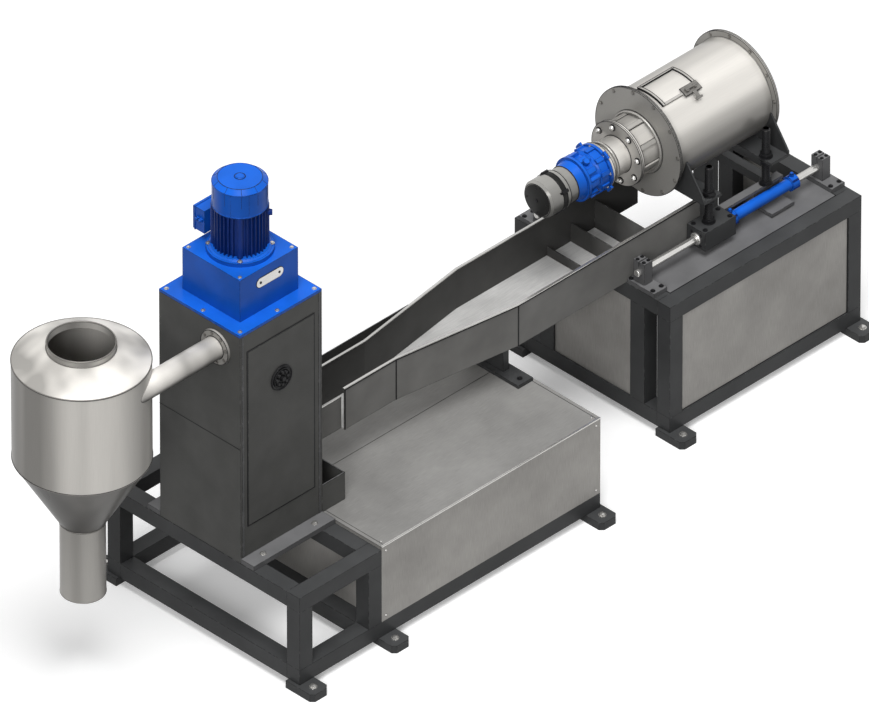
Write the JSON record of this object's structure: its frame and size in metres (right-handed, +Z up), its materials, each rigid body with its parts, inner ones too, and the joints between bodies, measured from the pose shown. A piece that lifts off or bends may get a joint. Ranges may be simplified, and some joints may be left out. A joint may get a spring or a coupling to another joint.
{
  "type": "plastic granulating line with dryer tower, cyclone, launder and cutting drum",
  "caption": "Granulating line: a dryer tower with a cyclone, a water tank under an open launder, and a cutting drum on a sliding carriage over a framed cabinet.",
  "frame": {"origin": "on the floor under the front left corner of the tank frame", "axes": "+X from the dryer tower to the cabinet, +Y away from the front, +Z up"},
  "size_m": [5.2099, 1.58, 2.66],
  "materials": {
    "black_paint": "charcoal powder coat",
    "blue_paint": "blue machine enamel",
    "dark_screw": "blackened steel",
    "grey_paint": "dark grey powder coat",
    "ground_rod": "ground and plated",
    "motor_grey": "grey enamel",
    "plain_steel_sheet": "brushed sheet",
    "stainless_steel": "polished stainless"
  },
  "bodies": {
    "base": {"cabinet_crossbars": "black_paint", "cabinet_deck": "black_paint", "cabinet_drum_bar": "black_paint", "cabinet_end_sheets": "plain_steel_sheet", "cabinet_feet": "black_paint", "cabinet_front_sheet": "plain_steel_sheet", "cabinet_posts": "black_paint", "cabinet_rails": "black_paint", "cyclone_outlet_pipe": "stainless_steel", "cyclone_shell": "stainless_steel", "drain_box": "black_paint", "frame_crossbars": "black_paint", "frame_feet": "black_paint", "frame_posts": "black_paint", "frame_rails": "black_paint", "guide_rods": "ground_rod", "gutter_legs": "black_paint", "inlet_chute": "grey_paint", "launder_floor": "plain_steel_sheet", "launder_stand": "black_paint", "launder_walls": "grey_paint", "launder_weirs": "plain_steel_sheet", "motor_bonnet": "blue_paint", "motor_cowl": "blue_paint", "motor_fins": "blue_paint", "motor_flange": "blue_paint", "motor_terminal_box": "blue_paint", "pipe_collar": "stainless_steel", "rear_gutter": "black_paint", "rod_supports": "black_paint", "tank_back_sheet": "plain_steel_sheet", "tank_end_sheets": "plain_steel_sheet", "tank_front_cover": "plain_steel_sheet", "tank_front_sheet": "plain_steel_sheet", "tank_rear_cover": "plain_steel_sheet", "tower_door": "grey_paint", "tower_foot_bars": "black_paint", "tower_housing": "grey_paint", "tower_top_plate": "blue_paint", "transfer_pipe": "stainless_steel"},
    "carriage": {"carriage_blocks": "black_paint", "carriage_cylinders": "blue_paint", "carriage_bridges": "black_paint", "drum_screws": "dark_screw", "drum_brackets": "black_paint", "drum_shell": "stainless_steel", "drum_flanges": "stainless_steel", "drum_hatch": "stainless_steel", "drum_bearing_hub": "stainless_steel", "drive_neck": "stainless_steel", "drive_gearbox": "blue_paint", "drive_motor": "motor_grey"}
  },
  "joints": [
    {"name": "carriage_slide", "type": "slide", "parent": "base", "child": "carriage", "axis": [1, 0, 0], "range_m": [-0.3, 0.14]}
  ]
}
